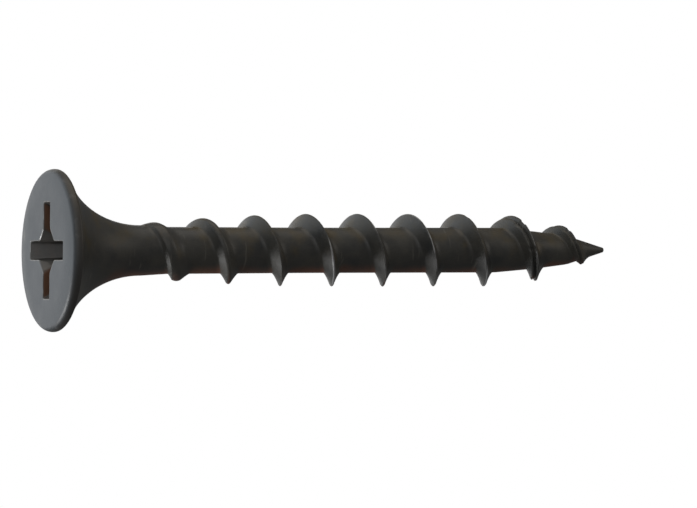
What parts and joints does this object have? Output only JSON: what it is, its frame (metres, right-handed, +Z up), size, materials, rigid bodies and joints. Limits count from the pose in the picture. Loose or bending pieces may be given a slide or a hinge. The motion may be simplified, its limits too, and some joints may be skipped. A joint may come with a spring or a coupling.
{
  "type": "wood screw",
  "caption": "Coarse-threaded wood screw with a bugle head, a flat cross-recessed face, a full-length right-hand thread and a sharp rolled point.",
  "frame": {"origin": "centre of the head's flat face, on the screw's axis, over the recess", "axes": "+X along the screw's axis from the head to the point, as it lies when driven level; the driver comes from -X; +Z up, along one wing of the cross recess"},
  "size_m": [0.0315, 0.0084, 0.0084],
  "materials": {
    "black_phosphate": "dull black phosphate conversion coating on rolled steel, blue-grey and satin on the pressed face, with a trace of brown oil and rust on the thread"
  },
  "bodies": {
    "root": {"screw": "black_phosphate"}
  },
  "joints": []
}
